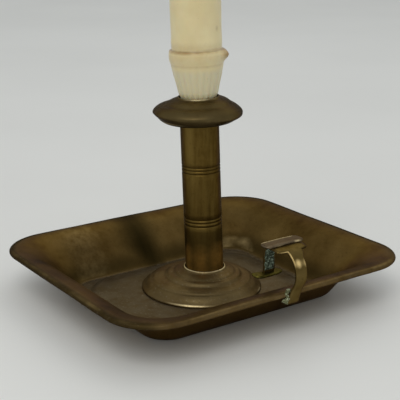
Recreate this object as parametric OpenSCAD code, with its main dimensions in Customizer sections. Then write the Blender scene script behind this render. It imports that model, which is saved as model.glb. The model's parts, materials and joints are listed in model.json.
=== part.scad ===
// Brass chamber candlestick: a rectangular dished tray with a wired rim, a stepped
// dome foot, a tube stem with a push-up ejector inside, a drip pan, a strap handle
// with a thumb plate, and a wax candle.
// Millimetres, +Z up. The origin is on the table, at the centre of the footprint of
// tray and handle. The long side of the tray runs along Y, and the handle is on +X.

/* [Tray] */
// Width across the rolled rim, along X
tray_w = 161.0; // [155:0.5:168]
// Length across the rolled rim, along Y
tray_l = 187.5; // [180:0.5:196]
// Height of the middle of the rolled rim
rim_z = 24.2; // [22:0.1:27]
// Outside radius of the rolled rim
roll_r = 1.6; // [1.4:0.05:1.9]
// Corner radius at the rim
rim_corner_r = 27.2; // [20:0.2:34]
// Width of the bottom, where the walls begin
bottom_w = 103.8; // [98:0.2:108]
// Length of the bottom, where the walls begin
bottom_l = 127.8; // [120:0.2:132]
// Corner radius at the bottom
bottom_corner_r = 14.4; // [11:0.2:18]
// Corner radius of the crease round the floor
crease_corner_r = 24.0; // [18:0.5:28]
// Thickness of the sheet
sheet_t = 0.9; // [0.7:0.05:1.0]
// Rise of the floor from its edge to the foot
floor_crown = 2.0; // [1:0.1:3]

/* [Foot and stem] */
// Place of the stem from the middle of the tray, along X
foot_x = 1.6; // [-3:0.1:3]
// Place of the stem from the middle of the tray, along Y
foot_y = 2.2; // [-3:0.1:3]
// Radius of the dome foot
dome_r = 35.0; // [33:0.1:36]
// Outside radius of the stem
stem_r = 11.0; // [10.5:0.1:11.2]
// Wall of the stem
stem_wall = 0.8; // [0.6:0.05:0.9]
// How far the stem has been bent over, in degrees
stem_lean = 1.97; // [0:0.01:3]

/* [Drip pan] */
// Largest radius of the drip pan
pan_r = 25.2; // [23:0.1:28]
// Height of the socket lip above the table
lip_z = 116.3; // [114:0.1:119]

/* [Handle] */
// Place of the handle along the rim
handle_y = 4.1; // [-10:0.1:12]
// Width of the strap
strap_w = 7.2; // [6:0.1:8.5]
// Thickness of the strap
strap_t = 2.0; // [1.6:0.1:2.2]
// How far the strap stands out past the rim
handle_out = 5.0; // [4.6:0.1:5.4]
// Length of the thumb plate, along the rim
thumb_l = 25; // [20:0.5:28]
// Width of the thumb plate
thumb_w = 7; // [6.5:0.5:8]

/* [Ejector] */
// Travel of the push-up ejector
push_travel = 16; // [10:0.5:16]
// Radius of the rod
rod_r = 2.0; // [1.8:0.1:2.2]

/* [Candle] */
// Radius of the candle
candle_r = 13.95; // [13.5:0.05:14.5]
// Height of the candle's top above the table
candle_top = 205; // [180:1:230]

/* [Hidden] */
$fn = 96;

// Tray: half sizes, and the shape of its wall
rim_hx = tray_w / 2 - roll_r;
rim_hy = tray_l / 2 - roll_r;
bottom_hx = bottom_w / 2;
bottom_hy = bottom_l / 2;
wall_run = rim_hx - bottom_hx;
bend_in = 3.8;
bend_pull = 5.6;
lip_pull = 18.6;
corner_growth = 0.65;
curl_r = roll_r - sheet_t / 2;
curl_turn = 256;
hole_r = 13.0;
hole_u = hole_r - bottom_hx;
crease_from = 0.05;
crease_to = 0.11;
crease_rise = 0.35;
crown_to = 0.36;
floor_ks = [1, 0.62, crown_to, 0.28, 0.20, crease_to, 0.08, crease_from];
corner_steps = 8;
ring_n = 4 * (corner_steps + 1);

// Stem and foot levels
floor_z = floor_crown + sheet_t;
neck_z = 15.9;
stem_in_r = stem_r - stem_wall;
stem_z0 = 9.0;
stem_z1 = lip_z - 3.3;
groove_d = 0.35;
groove_w = 0.9;
groove_zs = [42.2, 44.4, 46.3, 73.3, 75.3, 77.0];
guide_z = 22.0;
guide_t = 2.0;

// Ejector levels at rest
gap = 0.3;
fit_gap = 0.08;
plate_z = 99.0;
plate_t = 2.0;
plate_r = stem_in_r - 0.4;
button_z = 1.0;
button_t = guide_z - push_travel - button_z - 1.0;
button_r = 9.0;
stop_r = 4.0;
stop_t = 3.0;

// Candle levels
candle_z0 = plate_z + plate_t + gap;
wick_r = 1.1;
wick_up = 9.0;

// Handle levels: the loop's side view, in X and Z from the middle of the tray
strap_out_x = tray_w / 2 + handle_out - strap_t / 2;
strap_in_x = 57.8;
strap_top_z = 47.8;
outer_bend_r = 13.3;
inner_bend_r = 8.0;
tail_z = 28.0;
thumb_x = 69.5;
thumb_y = handle_y - 1;
thumb_t = 1.4;

function mix(a, b, k) = a + (b - a) * k;
function smooth(k) = k <= 0 ? 0 : k >= 1 ? 1 : k * k * (3 - 2 * k);
function bezier(a, b, c, d, k) =
    a * pow(1 - k, 3) + 3 * b * k * pow(1 - k, 2) + 3 * c * k * k * (1 - k) + d * pow(k, 3);
function arc_points(cx, cy, r, from, to, steps) =
    [for (i = [0:steps]) let (a = mix(from, to, i / steps)) [cx + r * cos(a), cy + r * sin(a)]];

// Points of a path moved sideways by d, to the left of its direction
function unit(v) = v / norm(v);
function turn_left(v) = [-v[1], v[0]];
function run_at(path, i) =
    unit(path[min(i + 1, len(path) - 1)] - path[max(i - 1, 0)]);
function beside(path, d) =
    [for (i = [0:len(path) - 1]) path[i] + d * turn_left(run_at(path, i))];
function backwards(list) = [for (i = [len(list) - 1:-1:0]) list[i]];

// One level ring of the tray, at u outwards of the line where the walls begin.
// Outwards it grows into the rim's shape, and inwards it shrinks to the round hole.
function ring_hx(u) = bottom_hx + u;
function ring_k(u) = (u + bend_in) / (hole_u + bend_in);
function ring_hy(u) = let (slope = (rim_hy - bottom_hy) / wall_run)
    u >= -bend_in ? bottom_hy + u * slope : mix(bottom_hy - bend_in * slope, hole_r, ring_k(u));
function ring_corner(u) = let (gain = rim_corner_r - bottom_corner_r)
    u >= 0 ? bottom_corner_r + gain * pow(u / wall_run, corner_growth)
           : mix(mix(bottom_corner_r, crease_corner_r, smooth(ring_k(u) / crease_from)),
                 hole_r, max(0, ring_k(u)));
function ring(u, z) =
    let (hx = ring_hx(u), hy = ring_hy(u), r = ring_corner(u))
    [for (q = [0:3], i = [0:corner_steps])
        let (a = 90 * (q + i / corner_steps),
             cx = (q == 0 || q == 3 ? 1 : -1) * (hx - r),
             cy = (q < 2 ? 1 : -1) * (hy - r))
        [cx + r * cos(a), cy + r * sin(a), z]];

// Middle line of the tray's sheet, as [u, z], from the hole to the end of the curl
wall_start = [-bend_in, sheet_t / 2];
wall_end = [wall_run, rim_z + curl_r];
function floor_rise(k) =
    floor_crown * mix(smooth((k - crease_from) / (crown_to - crease_from)),
                      smooth((k - crease_from) / (crease_to - crease_from)), crease_rise);
sheet_path = concat(
    [for (k = floor_ks) [mix(-bend_in, hole_u, k), sheet_t / 2 + floor_rise(k)]],
    [for (i = [0:10])
        bezier(wall_start, wall_start + [bend_pull, 0], wall_end - [lip_pull, 0], wall_end, i / 11)],
    arc_points(wall_run, rim_z, curl_r, 90, 90 - curl_turn, 9));
// The skin under the edge of the floor is made exactly flat, so that the tray rests on it
function rested(p) = [p[0], p[1] < 0.1 ? 0 : p[1]];
sheet_profile = concat(beside(sheet_path, sheet_t / 2),
                       [for (p = backwards(beside(sheet_path, -sheet_t / 2))) rested(p)]);

// Strap's middle line in side view, from its soldered foot round the loop to the tail
strap_path = concat(
    [[strap_out_x - 4.6, 19.2], [strap_out_x - 3.7, 22.2], [strap_out_x - 2.8, 25.3]],
    arc_points(strap_out_x - outer_bend_r, strap_top_z - outer_bend_r, outer_bend_r, -33, 90, 14),
    arc_points(strap_in_x + inner_bend_r, strap_top_z - inner_bend_r, inner_bend_r, 90, 180, 9),
    arc_points(strap_in_x - 2.5, tail_z + 3, 2.5, 0, -60, 3));

// Puts a piece where the middle of the tray is
module from_tray() {
    translate([-handle_out / 2, 0, 0]) children();
}

// Puts a piece on the stem's own axis, which leans away from the corner beside the handle
module on_stem() {
    from_tray() translate([foot_x, foot_y, 0])
        rotate(a = stem_lean, v = [0.818, -0.575, 0]) children();
}

// Closed band of rings, one for each point of a closed profile
module ring_band(profile) {
    n = ring_n;
    m = len(profile);
    polyhedron(
        points = [for (p = profile) each ring(p[0], p[1])],
        faces = [for (j = [0:m - 1], i = [0:n - 1])
            let (a = j * n + i, b = j * n + (i + 1) % n,
                 c = ((j + 1) % m) * n + (i + 1) % n, d = ((j + 1) % m) * n + i)
            each [[a, d, c], [a, c, b]]],
        convexity = 8);
}

// Round rod along the rim's outline, at the middle of the roll
module rim_rod(r) {
    cx = rim_hx - rim_corner_r;
    cy = rim_hy - rim_corner_r;
    for (q = [0:3])
        translate([(q == 0 || q == 3 ? 1 : -1) * cx, (q < 2 ? 1 : -1) * cy, rim_z])
            rotate([0, 0, 90 * q])
                rotate_extrude(angle = 90) translate([rim_corner_r, 0]) circle(r = r, $fn = 24);
    for (s = [-1, 1]) {
        translate([s * rim_hx, -cy, rim_z]) rotate([-90, 0, 0]) cylinder(r = r, h = 2 * cy, $fn = 24);
        translate([-cx, s * rim_hy, rim_z]) rotate([0, 90, 0]) cylinder(r = r, h = 2 * cx, $fn = 24);
    }
}

module tray() {
    color([0.30, 0.24, 0.13]) from_tray() ring_band(sheet_profile);
}

module rim_wire() {
    color([0.33, 0.28, 0.18]) from_tray() rim_rod(roll_r - sheet_t - 0.05);
}

// Spun foot: a flat edge, a round shoulder, two steps and a short neck round the stem
dome_top = concat(
    [[dome_r, floor_z], [dome_r, floor_z + 1.1], [dome_r - 0.6, floor_z + 1.7]],
    arc_points(dome_r - 9.5, floor_z - 4.3, 10.6, 32, 66, 5),
    [[dome_r - 6.0, floor_z + 5.3], [dome_r - 7.2, floor_z + 6.4]],
    arc_points(dome_r - 5.5, floor_z + 28.1, 21.6, 263, 243, 4),
    [[dome_r - 16.2, floor_z + 9.3], [dome_r - 17.4, floor_z + 10.0]],
    [[stem_r + 2.6, floor_z + 11.2], [stem_r + 1.1, neck_z - 0.9], [stem_r + 0.9, neck_z]]);
dome_under = [
    [stem_r - 2, neck_z], [stem_r - 2, neck_z - 2.6], [stem_r + 2.4, neck_z - 3.1],
    [dome_r - 17.2, floor_z + 8.7], [dome_r - 9.6, floor_z + 5.6], [dome_r - 6.4, floor_z + 3.8],
    [dome_r - 3.2, floor_z + 1.6], [dome_r - 2.6, floor_z]];

module base_dome() {
    color([0.33, 0.27, 0.15]) difference() {
        from_tray() translate([foot_x, foot_y, 0])
            rotate_extrude() polygon(concat(dome_top, dome_under));
        on_stem() cylinder(r = stem_r, h = 2 * neck_z);
    }
}

// Drawn tube with two groups of three cut rings
module stem_tube() {
    cuts = [for (z = groove_zs)
        each [[stem_r, z - groove_w / 2], [stem_r - groove_d, z], [stem_r, z + groove_w / 2]]];
    color([0.30, 0.24, 0.13]) on_stem() rotate_extrude()
        polygon(concat([[stem_in_r, stem_z0], [stem_r, stem_z0]], cuts,
                       [[stem_r, stem_z1], [stem_in_r, stem_z1]]));
}

// Spun pan with a coned top, a round edge that turns under, and the socket lip
module drip_pan() {
    edge_z = lip_z - 8.6;
    color([0.28, 0.23, 0.13]) on_stem() rotate_extrude()
        polygon(concat(
            [[stem_r, lip_z - 11.5], [stem_r, lip_z - 3.3], [stem_in_r, lip_z - 3.3],
             [stem_in_r, lip_z - 1.2], [stem_in_r + 0.5, lip_z]],
            [[stem_r + 0.6, lip_z], [stem_r + 0.8, lip_z - 0.9]],
            [[stem_r + 3.6, lip_z - 1.3], [pan_r - 6.0, lip_z - 3.2], [pan_r - 2.2, lip_z - 5.6]],
            arc_points(pan_r - 2.4, edge_z, 2.4, 50, -30, 6),
            [[pan_r - 0.6, lip_z - 11.2], [pan_r - 2.0, lip_z - 12.8], [pan_r - 4.2, lip_z - 13.8],
             [pan_r - 6.0, lip_z - 13.6], [pan_r - 5.8, lip_z - 12.4], [pan_r - 3.6, lip_z - 11.6],
             [pan_r - 2.4, lip_z - 9.0], [pan_r - 4.4, lip_z - 6.4], [stem_r + 3.8, lip_z - 3.2],
             [stem_r + 1.4, lip_z - 3.6], [stem_r + 1.2, lip_z - 11.5]]));
}

// Disc soldered inside the stem, which guides the rod and stops it both ways
module guide_disc() {
    color([0.40, 0.33, 0.20]) on_stem() rotate_extrude()
        translate([rod_r + fit_gap, guide_z]) square([stem_in_r - rod_r - fit_gap, guide_t]);
}

module ejector_rod() {
    stop_z = guide_z + guide_t + gap;
    color([0.36, 0.35, 0.33]) on_stem() union() {
        translate([0, 0, button_z + button_t]) cylinder(r = rod_r, h = plate_z - button_z - button_t);
        translate([0, 0, stop_z]) cylinder(r = stop_r, h = stop_t);
    }
}

module ejector_plate() {
    color([0.42, 0.34, 0.19]) on_stem() translate([0, 0, plate_z]) cylinder(r = plate_r, h = plate_t);
}

module ejector_button() {
    rim = 0.8;
    color([0.45, 0.36, 0.20]) on_stem() rotate_extrude()
        polygon([[0, button_z + rim], [button_r - 3, button_z], [button_r - rim, button_z],
                 [button_r, button_z + rim], [button_r, button_z + button_t - rim],
                 [button_r - rim, button_z + button_t], [0, button_z + button_t]]);
}

// Flat strap bent into a loop. It is widest on top, under the thumb plate, and its free
// end spreads into a fish tail.
module handle_strap() {
    belly_w = 20;
    tail_w = 19.6;
    far_x = strap_out_x + strap_t;
    half_w = strap_w / 2;
    color([0.40, 0.32, 0.17]) from_tray() translate([0, handle_y, 0]) union() {
        intersection() {
            translate([0, belly_w, 0]) rotate([90, 0, 0]) linear_extrude(2 * belly_w)
                polygon(concat(beside(strap_path, strap_t / 2),
                               backwards(beside(strap_path, -strap_t / 2))));
            linear_extrude(100)
                polygon([[50, -half_w], [strap_in_x + 6, -half_w], [strap_in_x + 9.5, -belly_w / 2],
                         [thumb_x + 2.5, -belly_w / 2], [thumb_x + 6.5, -half_w - 0.6],
                         [strap_out_x - 4, -half_w], [far_x, -half_w], [far_x, half_w],
                         [strap_out_x - 2.5, half_w], [strap_out_x - 6, half_w + 2.2],
                         [thumb_x + 2.5, belly_w / 2], [strap_in_x + 9.5, belly_w / 2],
                         [strap_in_x + 6, half_w], [50, half_w]]);
        }
        translate([strap_in_x + 0.4, 0, tail_z - 1.2]) linear_extrude(2.2)
            polygon([[-3.5, -tail_w / 2 + 1], [1.5, -tail_w / 2], [3.0, -tail_w / 2 + 1.5],
                     [2.6, 0], [3.0, tail_w / 2 - 1.5], [1.5, tail_w / 2], [-3.5, tail_w / 2 - 1],
                     [-3.0, 0]]);
    }
}

module thumb_plate() {
    corner = 2.4;
    color([0.40, 0.32, 0.17]) from_tray()
        translate([thumb_x, thumb_y, strap_top_z + strap_t / 2])
            linear_extrude(thumb_t) union() {
                square([thumb_w - 2 * corner, thumb_l], center = true);
                square([thumb_w, thumb_l - 2 * corner], center = true);
                for (sx = [-1, 1], sy = [-1, 1])
                    translate([sx * (thumb_w / 2 - corner), sy * (thumb_l / 2 - corner)])
                        circle(r = corner, $fn = 32);
            }
}

// Candle with a tapered end that sits in the socket, and a band of wax above the taper
module candle() {
    taper_z = lip_z + 1.7;
    color([0.90, 0.85, 0.68]) on_stem() rotate_extrude()
        polygon([[wick_r, candle_z0], [8.6, candle_z0], [9.6, lip_z - 1.0], [10.0, lip_z],
                 [11.0, taper_z], [11.8, taper_z + 3.6], [12.6, taper_z + 7.0],
                 [13.6, taper_z + 10.0], [14.6, taper_z + 14.6], [14.9, taper_z + 19.0],
                 [14.7, taper_z + 22.6], [candle_r, taper_z + 23.6], [candle_r, candle_top - 6],
                 [candle_r - 1.6, candle_top - 1.2], [candle_r - 4, candle_top - 2.4],
                 [4, candle_top - 5], [wick_r, candle_top - 5]]);
}

module wick() {
    color([0.16, 0.14, 0.12]) on_stem()
        translate([0, 0, candle_z0]) cylinder(r = wick_r, h = candle_top - 5 + wick_up - candle_z0);
}

tray();
rim_wire();
base_dome();
stem_tube();
drip_pan();
guide_disc();
ejector_rod();
ejector_plate();
ejector_button();
handle_strap();
thumb_plate();
candle();
wick();
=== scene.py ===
import bmesh
import bpy
import json
import math
import numpy as np
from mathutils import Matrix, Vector, noise


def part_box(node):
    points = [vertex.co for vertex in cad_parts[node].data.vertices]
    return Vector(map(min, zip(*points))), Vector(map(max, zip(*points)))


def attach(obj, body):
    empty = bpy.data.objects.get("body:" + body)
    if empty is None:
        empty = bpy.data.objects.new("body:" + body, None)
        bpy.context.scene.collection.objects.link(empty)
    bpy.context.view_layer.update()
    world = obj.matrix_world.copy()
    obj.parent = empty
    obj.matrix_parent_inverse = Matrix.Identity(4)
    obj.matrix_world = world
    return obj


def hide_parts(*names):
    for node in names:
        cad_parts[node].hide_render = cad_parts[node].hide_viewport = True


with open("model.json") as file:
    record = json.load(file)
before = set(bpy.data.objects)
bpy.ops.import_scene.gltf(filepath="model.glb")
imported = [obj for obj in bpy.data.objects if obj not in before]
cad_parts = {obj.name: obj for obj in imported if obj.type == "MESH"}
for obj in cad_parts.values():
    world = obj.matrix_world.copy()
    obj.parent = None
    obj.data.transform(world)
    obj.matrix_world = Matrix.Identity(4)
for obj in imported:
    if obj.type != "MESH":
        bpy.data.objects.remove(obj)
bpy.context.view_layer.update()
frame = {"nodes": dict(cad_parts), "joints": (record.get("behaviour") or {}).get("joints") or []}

# ---------------------------------------------------------------------------------------
# Sizes, in metres, read from the frame where it holds them
# ---------------------------------------------------------------------------------------
MM = 0.001
tray_low, tray_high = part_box("tray")
TRAY_C = (tray_low + tray_high) / 2
dome_low, dome_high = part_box("base_dome")
FOOT = Vector(((dome_low.x + dome_high.x) / 2, (dome_low.y + dome_high.y) / 2, 0.0))
STEM_UP = Vector(frame["joints"][0]["axis"]).normalized()
FLOOR_Z = dome_low.z
DOME_R = (dome_high.x - dome_low.x) / 2
STEM_R = 11.0 * MM
strap_low, strap_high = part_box("handle_strap")
HANDLE_Y = (strap_low.y + strap_high.y) / 2
# The front quarter, between +X and -Y, as a turn round the stem in degrees
FRONT_TURN = -35.0
# Plan direction to the left, as seen from the front quarter
LEFTWARDS = Vector((-0.575, -0.818, 0))

# Tray section: the same shape as the CAD sheet
SHEET_T = 0.9 * MM
ROLL_R = 1.6 * MM
RIM_HX = (tray_high.x - tray_low.x) / 2 - ROLL_R
RIM_HY = (tray_high.y - tray_low.y) / 2 - ROLL_R
RIM_Z = tray_high.z - ROLL_R
RIM_CORNER = 27.2 * MM
BOTTOM_HX = 51.9 * MM
BOTTOM_HY = 63.9 * MM
BOTTOM_CORNER = 14.4 * MM
CREASE_CORNER = 24.0 * MM
CREASE_FROM, CREASE_TO, CREASE_RISE, CROWN_TO = 0.05, 0.11, 0.35, 0.36
WALL_RUN = RIM_HX - BOTTOM_HX
BEND_IN = 3.8 * MM
BEND_PULL = 5.6 * MM
LIP_PULL = 18.6 * MM
CORNER_GROWTH = 0.65
CURL_R = ROLL_R - SHEET_T / 2
HOLE_R = 13.0 * MM
CROWN = FLOOR_Z - SHEET_T


# ---------------------------------------------------------------------------------------
# Mesh helpers
# ---------------------------------------------------------------------------------------
def mix(a, b, k):
    return a + (b - a) * k


def smooth(k):
    k = min(1.0, max(0.0, k))
    return k * k * (3 - 2 * k)


def bump(x, middle, width):
    """A smooth hill, 1 at the middle and 0 past the width."""
    return smooth(1 - abs(x - middle) / width)


def arc(cx, cy, r, start, end, steps):
    angles = [math.radians(mix(start, end, i / steps)) for i in range(steps + 1)]
    return [(cx + r * math.cos(a), cy + r * math.sin(a)) for a in angles]


def rounded(points, spacing):
    """The points joined by a smooth curve, with points about spacing apart."""
    pts = [np.array(p, float) for p in points]
    out = []
    for i in range(len(pts) - 1):
        p0, p1 = pts[max(i - 1, 0)], pts[i]
        p2, p3 = pts[i + 1], pts[min(i + 2, len(pts) - 1)]
        d01 = max(np.linalg.norm(p1 - p0), 1e-9) ** 0.5
        d12 = max(np.linalg.norm(p2 - p1), 1e-9) ** 0.5
        d23 = max(np.linalg.norm(p3 - p2), 1e-9) ** 0.5
        m1 = p2 - p1 if i == 0 else ((p1 - p0) / d01 - (p2 - p0) / (d01 + d12)) * d12 + (p2 - p1)
        if i == len(pts) - 2:
            m2 = p2 - p1
        else:
            m2 = ((p2 - p1) - (p3 - p1) / (d12 + d23) * d12) + (p3 - p2) / d23 * d12
        steps = max(1, int(round(np.linalg.norm(p2 - p1) / spacing)))
        for j in range(steps):
            t = j / steps
            out.append((2 * t**3 - 3 * t**2 + 1) * p1 + (t**3 - 2 * t**2 + t) * m1
                       + (-2 * t**3 + 3 * t**2) * p2 + (t**3 - t**2) * m2)
    out.append(pts[-1])
    return out


def wobble(p, scale, seed=0.0):
    """Smooth noise between -1 and 1 at a point, with lumps about 1/scale across."""
    return noise.noise(Vector((p[0] * scale + seed, p[1] * scale - seed, p[2] * scale + 2 * seed)))


def wobble_round(turn, scale, seed):
    """The same noise round a circle, so that it closes on itself."""
    return wobble((math.cos(turn), math.sin(turn), 0), scale, seed)


def grid_mesh(name, rows, close_rows=True, close_ring=True, marks=None):
    """A mesh from rows of points. Rows join to the next, and each row is a ring."""
    n = len(rows[0])
    verts = [tuple(p) for row in rows for p in row]
    faces = []
    m = len(rows)
    for j in range(m if close_rows else m - 1):
        for i in range(n if close_ring else n - 1):
            a, b = j * n + i, j * n + (i + 1) % n
            c, d = ((j + 1) % m) * n + (i + 1) % n, ((j + 1) % m) * n + i
            faces.append((a, d, c, b))
    return make_mesh(name, verts, faces, marks)


def smooth_faces(mesh):
    mesh.polygons.foreach_set("use_smooth", [True] * len(mesh.polygons))


def add_object(name, data):
    obj = bpy.data.objects.new(name, data)
    bpy.context.scene.collection.objects.link(obj)
    return obj


def make_mesh(name, verts, faces, marks=None):
    """A smooth-shaded mesh object. marks holds one list of values per vertex attribute."""
    mesh = bpy.data.meshes.new(name)
    mesh.from_pydata(verts, [], faces)
    mesh.validate()
    smooth_faces(mesh)
    for key, values in (marks or {}).items():
        layer = mesh.attributes.new(key, "FLOAT", "POINT")
        layer.data.foreach_set("value", np.array(values, np.float32))
    return add_object(name, mesh)


def face_out(obj):
    """Turns the faces outwards on a closed mesh."""
    bm = bmesh.new()
    bm.from_mesh(obj.data)
    bmesh.ops.recalc_face_normals(bm, faces=bm.faces)
    bm.to_mesh(obj.data)
    bm.free()
    return obj


def across_axis(up):
    """The two directions square to an axis that turns are counted in."""
    side = Vector((0, 1, 0)).cross(up).normalized()
    return side, up.cross(side)


def stem_point(r, turn, z, centre=FOOT, up=STEM_UP):
    """A point at radius r and height z on the stem's own axis, or on another one."""
    side, front = across_axis(up)
    return centre + up * z + side * (r * math.cos(turn)) + front * (r * math.sin(turn))


def lathe(name, profile, steps=160, up=STEM_UP, centre=FOOT, shift=None, marks=None, dirt_and_shade=None):
    """Turns a closed profile of (r, z) round an axis.

    shift(r, turn, z) moves a point. marks(r, z, turn) gives its wear and painted highlights, and the grime
    function, called the same way, gives its grime and painted shade.
    """
    rows, wear_and_highlight, grime_and_shade = [], [], []
    for r, z in profile:
        row = []
        for i in range(steps):
            turn = 2 * math.pi * i / steps
            rr, zz = shift(r, turn, z) if shift else (r, z)
            row.append(stem_point(rr, turn, zz, centre, up))
            wear_and_highlight.append(marks(r, z, turn) if marks else 0.0)
            grime_and_shade.append(dirt_and_shade(r, z, turn) if dirt_and_shade else 0.0)
        rows.append(row)
    obj = grid_mesh(name, rows, marks={"wear_and_highlight": wear_and_highlight, "grime_and_shade": grime_and_shade})
    return face_out(obj)


def beside(path, d):
    """Points of a 2D path moved d to the left of its direction."""
    p = np.array(path, float)
    run = np.gradient(p, axis=0)
    run /= np.linalg.norm(run, axis=1)[:, None]
    return p + d * np.c_[-run[:, 1], run[:, 0]]


# ---------------------------------------------------------------------------------------
# Materials
# ---------------------------------------------------------------------------------------
def new_material(name):
    mat = bpy.data.materials.new(name)
    mat.use_nodes = True
    tree = mat.node_tree
    tree.nodes.clear()
    out = tree.nodes.new("ShaderNodeOutputMaterial")
    shader = tree.nodes.new("ShaderNodeBsdfPrincipled")
    tree.links.new(shader.outputs[0], out.inputs["Surface"])
    return mat, tree, shader


def noise_node(tree, scale, detail=4.0, roughness=0.55, stretch=None):
    coords = tree.nodes.new("ShaderNodeTexCoord")
    tex = tree.nodes.new("ShaderNodeTexNoise")
    tex.inputs["Scale"].default_value = scale
    tex.inputs["Detail"].default_value = detail
    tex.inputs["Roughness"].default_value = roughness
    source = coords.outputs["Object"]
    if stretch:
        mapping = tree.nodes.new("ShaderNodeMapping")
        mapping.inputs["Scale"].default_value = stretch
        tree.links.new(source, mapping.inputs["Vector"])
        source = mapping.outputs["Vector"]
    tree.links.new(source, tex.inputs["Vector"])
    return tex.outputs["Fac"]


def ramp(tree, source, stops):
    node = tree.nodes.new("ShaderNodeValToRGB")
    tree.links.new(source, node.inputs["Fac"])
    items = node.color_ramp.elements
    while len(items) < len(stops):
        items.new(0.5)
    for item, (place, color) in zip(items, stops):
        item.position = place
        item.color = (*color, 1.0)
    return node.outputs["Color"]


def grey(tree, source, low, high, out_low=0.0, out_high=1.0):
    node = tree.nodes.new("ShaderNodeMapRange")
    node.inputs["From Min"].default_value = low
    node.inputs["From Max"].default_value = high
    node.inputs["To Min"].default_value = out_low
    node.inputs["To Max"].default_value = out_high
    tree.links.new(source, node.inputs["Value"])
    return node.outputs["Result"]


def math_node(tree, how, a, b):
    node = tree.nodes.new("ShaderNodeMath")
    node.operation = how
    for socket, value in zip(node.inputs, (a, b)):
        if isinstance(value, (int, float)):
            socket.default_value = value
        else:
            tree.links.new(value, socket)
    return node.outputs["Value"]


def blend_color(tree, factor, a, b):
    node = tree.nodes.new("ShaderNodeMix")
    node.data_type = "RGBA"
    for socket, value in ((node.inputs[0], factor), (node.inputs[6], a), (node.inputs[7], b)):
        if isinstance(value, tuple):
            socket.default_value = (*value, 1.0)
        else:
            tree.links.new(value, socket)
    return node.outputs[2]


def attribute(tree, name):
    node = tree.nodes.new("ShaderNodeAttribute")
    node.attribute_name = name
    return node.outputs["Fac"]


def bump_from(tree, shader, source, strength, distance):
    node = tree.nodes.new("ShaderNodeBump")
    node.inputs["Strength"].default_value = strength
    node.inputs["Distance"].default_value = distance
    tree.links.new(source, node.inputs["Height"])
    tree.links.new(node.outputs["Normal"], shader.inputs["Normal"])


# Colour of grime and of painted shade
GRIME_AND_SHADE_COLOR = (0.020, 0.0145, 0.004)
DUST_COLOR = (0.36, 0.31, 0.24)


def aged_brass(name, dark, light, worn_and_highlight, rough=(0.42, 0.56), patches=38.0, metal=0.8,
               edge=(0.36, 0.26, 0.14), reflection_color=None, stretch=None, dust=0.0):
    """Old brass: two browns in patches, dark specks, dust, grime and painted shade, a grey-brown painted
    reflection, and bare metal where it is worn and where a highlight is painted.

    The vertex attributes mark bare metal and painted highlights, the painted reflection, and grime and
    painted shade.
    """
    mat, tree, shader = new_material(name)
    shader.inputs["Metallic"].default_value = metal
    shader.inputs["Specular Tint"].default_value = (*edge, 1.0)
    shader.inputs["Specular IOR Level"].default_value = 0.25
    cloud = noise_node(tree, patches, 6.0, 0.62, stretch)
    body = ramp(tree, cloud, [(0.34, dark), (0.66, light)])
    specks = grey(tree, noise_node(tree, 620.0, 3.0, 0.7), 0.58, 0.74)
    speck_color = tuple(0.45 * c for c in dark)
    body = blend_color(tree, math_node(tree, "MULTIPLY", specks, 0.5), body, speck_color)
    fine = noise_node(tree, 260.0, 4.0, 0.65)
    body = blend_color(tree, grey(tree, fine, 0.35, 0.75, 0.0, 0.35), body, light)
    if reflection_color:
        # A grey-brown painted reflection, mottled, laid where the vertex attribute marks it
        mottle = grey(tree, noise_node(tree, 150.0, 5.0, 0.7), 0.33, 0.66, 0.45, 1.15)
        reflected = math_node(tree, "MULTIPLY", attribute(tree, "reflection_tone"), mottle)
        body = blend_color(tree, reflected, body, reflection_color)
    body = blend_color(tree, attribute(tree, "grime_and_shade"), body, GRIME_AND_SHADE_COLOR)
    if dust:
        light_specks = grey(tree, noise_node(tree, 760.0, 4.0, 0.75), 0.58, 0.74, 0.0, dust)
        if reflection_color:
            light_specks = math_node(tree, "MULTIPLY", light_specks, attribute(tree, "reflection_tone"))
        body = blend_color(tree, light_specks, body, DUST_COLOR)
    # Bare metal, also used for painted highlights
    bare_and_highlight = grey(tree, math_node(tree, "MULTIPLY", attribute(tree, "wear_and_highlight"),
                                grey(tree, fine, 0.2, 0.7, 0.6, 1.4)), 0.12, 0.9)
    body = blend_color(tree, bare_and_highlight, body, worn_and_highlight)
    tree.links.new(body, shader.inputs["Base Color"])
    dull = grey(tree, noise_node(tree, 90.0, 5.0, 0.6), 0.3, 0.7, rough[0], rough[1])
    shine = math_node(tree, "SUBTRACT", dull, math_node(tree, "MULTIPLY", bare_and_highlight, 0.14))
    shine = math_node(tree, "ADD", shine, math_node(tree, "MULTIPLY", attribute(tree, "grime_and_shade"), 0.25))
    tree.links.new(shine, shader.inputs["Roughness"])
    scuffs = math_node(tree, "ADD", noise_node(tree, 1400.0, 3.0, 0.6),
                       math_node(tree, "MULTIPLY", noise_node(tree, 180.0, 4.0, 0.5), 1.5))
    bump_from(tree, shader, scuffs, 0.10, 0.0006)
    return mat


def verdigris(name, stops):
    """Chalky crust with dark pits."""
    mat, tree, shader = new_material(name)
    color = ramp(tree, noise_node(tree, 900.0, 5.0, 0.75), stops)
    tree.links.new(color, shader.inputs["Base Color"])
    shader.inputs["Roughness"].default_value = 0.85
    bump_from(tree, shader, noise_node(tree, 1500.0, 4.0, 0.7), 0.5, 0.0005)
    return mat


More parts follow.
